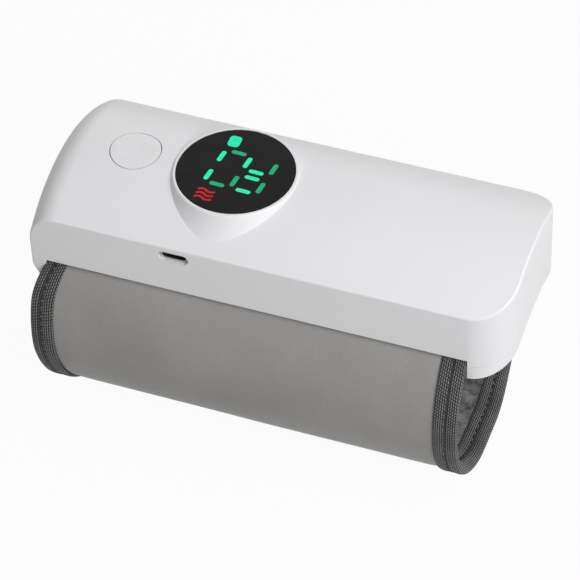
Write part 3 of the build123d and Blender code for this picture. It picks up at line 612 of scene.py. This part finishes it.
def binding_outline(edge, width, inward):
    """Folded tape in section: outer face, fold, inner face and back along its underside."""
    groove = 0.50
    across = np.linspace(1.0, 0.10, 26)
    ridge = np.where(across > groove, (across - groove) / (1 - groove), across / groove)
    swell = np.abs(np.sin(math.pi * ridge))
    outer = [(edge + inward * width * a, -0.22 - 0.5 * s**0.6) for a, s in zip(across, swell)]
    outer[0] = (edge + inward * width, -0.04)
    fold_r = 1.15
    fold = [(edge + inward * 0.55 * (1 - math.sin(t)), 0.75 - fold_r * math.cos(t))
            for t in np.linspace(0.35, 2.8, 9)]
    back_across = across[::-1]
    sloped = 2.0 + (inner_deep - 2.0 - 0.35) * np.clip((back_across - 0.08) / 0.75, 0, 1) ** 0.8
    inner = [(edge + inward * width * a, deep + 1.25 * s**0.6 - 0.6)
             for a, deep, s in zip(back_across, sloped, swell[::-1])]
    tuck = [(edge + inward * width, inner_deep - 1.6), (edge + inward * width * 0.93, inner_deep - 2.2),
            (edge + inward * width * 0.5, 1.9), (edge + inward * width * 0.2, 1.0),
            (edge + inward * width * 0.5, 0.5), (edge + inward * width * 0.93, 0.35)]
    return outer + fold + inner + tuck


def binding_push(x, run, index):
    """Thins the tape where it slips under the shell, and lets it wander a little."""
    z = np.abs(run) - tape_end
    close = np.clip(1 + z / 6, 0, 1)
    return close * 0.35 + 0.06 * soft_noise(x, run, 9, 6, 21)


def stitches(name, line, x, inset, length_mm=2.1, thread_mm=0.8):
    """A row of short stitches sunk in the groove of the tape."""
    rings, sides = 6, 6
    points, faces = [], []
    total = line["run"][-1]
    for middle_run in np.arange(-total + 2.5, total - 2.5, stitch_pitch):
        base = len(points)
        for ring in range(rings):
            t = -1 + 2 * ring / (rings - 1)
            run = middle_run + t * length_mm / 2
            y, z = (np.interp(run, line["run"], line[axis]) for axis in ("y", "z"))
            out = np.array([np.interp(run, line["run"], line[axis]) for axis in ("out_y", "out_z")])
            fat = thread_mm / 2 * math.sqrt(max(1 - t * t, 0.04))
            sunk = inset + 0.3 * t * t * (-1 if inset > 1 else 1)
            for side in range(sides):
                angle = 2 * math.pi * side / sides
                height = -sunk + fat * math.sin(angle)
                side_y, side_z = y + out[0] * height, z + out[1] * height
                points.append((float(flare(x, side_y, side_z)) + fat * math.cos(angle), side_y, side_z))
        for ring in range(rings - 1):
            for side in range(sides):
                a, b = base + ring * sides, base + (ring + 1) * sides
                other = (side + 1) % sides
                faces.append((a + side, a + other, b + other, b + side))
        faces.append([base + side for side in range(sides)][::-1])
        faces.append([base + (rings - 1) * sides + side for side in range(sides)])
    mesh = bpy.data.meshes.new(name)
    mesh.from_pydata((np.array(points) * MM).tolist(), [], faces)
    mesh.shade_smooth()
    return add_piece(name, mesh, stitch_thread)


tape_line = sleeve_line(cut_z + 0.6, 0.8)
tape_end = tape_line["run"][-1]
left_narrower = 1.7       # the flared end turns part of its tape over the edge
for side, edge, width, inward in (("left", sleeve_start, band_left_w - left_narrower, 1),
                                  ("right", sleeve_end, band_right_w, -1)):
    binding = sweep(f"webbing_{side}", binding_outline(edge, width, inward), tape_line, webbing,
                    binding_push)
    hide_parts(f"binding_{side}")
    stitches(f"stitches_outer_{side}", tape_line, edge + inward * width * 0.5, -0.38)
    stitches(f"stitches_inner_{side}", tape_line, edge + inward * width * 0.5, 3.25)
    print(side, "binding:", len(binding.data.polygons), "faces")

# %% [markdown]
# ## Cavity pad
# The roof of the bottle's space is the underside of the housing, and it carries a pad of the same plush.
# It is swept along the arch of the roof, with rounded edges, and dimpled round the temperature sensor.

# %% Pad
pad_low, pad_high = box_mm("cavity_pad")
sensor_low, sensor_high = box_mm("temperature_sensor")
pad_half = pad_high[1]
pad_t = 1.5
pad_rise = pad_high[2] - pad_low[2] - pad_t
roof_r = (pad_half**2 + pad_rise**2) / (2 * pad_rise)
roof_z = pad_high[2] - roof_r
swing = np.linspace(-math.asin(pad_half / roof_r) * 0.985, math.asin(pad_half / roof_r) * 0.985, 70)
roof_line = {"y": roof_r * np.sin(swing), "z": roof_z + roof_r * np.cos(swing), "out_y": np.sin(swing),
             "out_z": np.cos(swing), "run": roof_r * swing}


def pad_push(x, run, index):
    """Soft swell, rounded sides, and the dimple at the sensor."""
    side = np.clip((np.abs(run).max() - np.abs(run)) / 2.0, 0, 1)
    end = np.clip(np.minimum(x - pad_low[0], pad_high[0] - x) / 2.0, 0, 1)
    reach = np.hypot(x - (sensor_low[0] + sensor_high[0]) / 2, run)
    dimple = np.exp(-np.clip(reach - 3.6, 0, None) ** 2 / 4)
    low_face = index >= pad_count
    rounding = 0.9 * (1 - side**0.5) + 0.9 * (1 - end**0.5)
    shape = 0.18 * soft_noise(x, run, 12, 9, 31) - rounding - 0.5 * dimple
    return np.where(low_face, shape - 0.1, 0)


pad_outline = layer_outline(pad_low[0], pad_high[0], 0.05, pad_t, 1.2)
pad_count = len(pad_outline) // 2
pad_piece = sweep("cavity_plush", pad_outline, roof_line, lining, pad_push, bends=False)
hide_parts("cavity_pad")
print("pad:", len(pad_piece.data.polygons), "faces")

# %% [markdown]
# ## Floor and light
# The floor is plain and pale, and to the camera it glows, so that it reads as white while a faint shadow
# stays. One soft lamp from the right and above makes the main form, another overhead lifts the top, weak
# ones open up the front, the left and the back, and the world fills the rest.

# %% Floor, lamps and world
def white_to_camera(tree):
    """1 for rays that come from the camera or through gloss and glass, else 0."""
    path = tree.nodes.new("ShaderNodeLightPath")
    seen = tree.nodes.new("ShaderNodeMath")
    seen.operation = "MAXIMUM"
    tree.links.new(path.outputs["Is Camera Ray"], seen.inputs[0])
    other = tree.nodes.new("ShaderNodeMath")
    other.operation = "MAXIMUM"
    tree.links.new(path.outputs["Is Glossy Ray"], other.inputs[0])
    tree.links.new(path.outputs["Is Transmission Ray"], other.inputs[1])
    tree.links.new(other.outputs[0], seen.inputs[1])
    return seen.outputs[0]


floor_glow = 0.95         # how white the floor is shown, and so how faint the shadow
fill_level = 0.22         # light from all round
floor_finish = Finish("floor_white", Roughness=0.9, Specular_IOR_Level=0.1, Base_Color=(0.6, 0.6, 0.6, 1))
floor_tree = floor_finish.tree
glow = floor_tree.nodes.new("ShaderNodeEmission")
glow.inputs["Strength"].default_value = 1.0
lift = floor_tree.nodes.new("ShaderNodeMath")
lift.operation = "MULTIPLY"
lift.inputs[1].default_value = floor_glow
floor_tree.links.new(white_to_camera(floor_tree), lift.inputs[0])
blend = floor_tree.nodes.new("ShaderNodeMixShader")
floor_tree.links.new(lift.outputs[0], blend.inputs[0])
floor_tree.links.new(floor_finish.shader.outputs[0], blend.inputs[1])
floor_tree.links.new(glow.outputs[0], blend.inputs[2])
floor_tree.links.new(blend.outputs[0], floor_tree.nodes["Material Output"].inputs["Surface"])
floor_mesh = bpy.data.meshes.new("floor")
floor_half = 3.0
floor_z = low.z - 0.00005
corners = ((-1, -1), (1, -1), (1, 1), (-1, 1))
floor_mesh.from_pydata([(x * floor_half, y * floor_half, floor_z) for x, y in corners], [], [(0, 1, 2, 3)])
floor_mesh.materials.append(floor_finish.material)
floor = bpy.data.objects.new("floor", floor_mesh)
bpy.context.collection.objects.link(floor)

world = bpy.data.worlds.new("studio")
bpy.context.scene.world = world
world.use_nodes = True
sky = world.node_tree
ambient = sky.nodes["Background"]
ambient.inputs["Color"].default_value = (1, 1, 1, 1)
ambient.inputs["Strength"].default_value = fill_level
shown = sky.nodes.new("ShaderNodeBackground")
shown.inputs["Color"].default_value = (1, 1, 1, 1)
shown.inputs["Strength"].default_value = 1.0
choose = sky.nodes.new("ShaderNodeMixShader")
sky.links.new(white_to_camera(sky), choose.inputs[0])
sky.links.new(ambient.outputs[0], choose.inputs[1])
sky.links.new(shown.outputs[0], choose.inputs[2])
sky.links.new(choose.outputs[0], sky.nodes["World Output"].inputs["Surface"])


def lamp(name, place, size, watts, towards=middle):
    """A soft square lamp turned to the warmer."""
    light = bpy.data.lights.new(name, "AREA")
    light.shape = "SQUARE"
    light.size = size
    light.energy = watts
    piece = bpy.data.objects.new(name, light)
    piece.location = place
    piece.rotation_euler = (towards - piece.location).to_track_quat("-Z", "Y").to_euler()
    bpy.context.collection.objects.link(piece)
    return piece


lamp("key_right", Vector((0.58, -0.3, 0.64)), 0.55, 5.6)
lamp("overhead", Vector((0.45, 0.35, 0.95)), 0.7, 1.9)
lamp("front_fill", Vector((0.5, -1.4, 0.45)), 0.8, 1.8)
lamp("left_fill", Vector((-0.2, -0.9, 1.1)), 0.8, 1.2)
lamp("back_fill", Vector((-0.6, 1.5, 0.7)), 0.9, 3.2)
bpy.context.scene.view_settings.view_transform = "Standard"
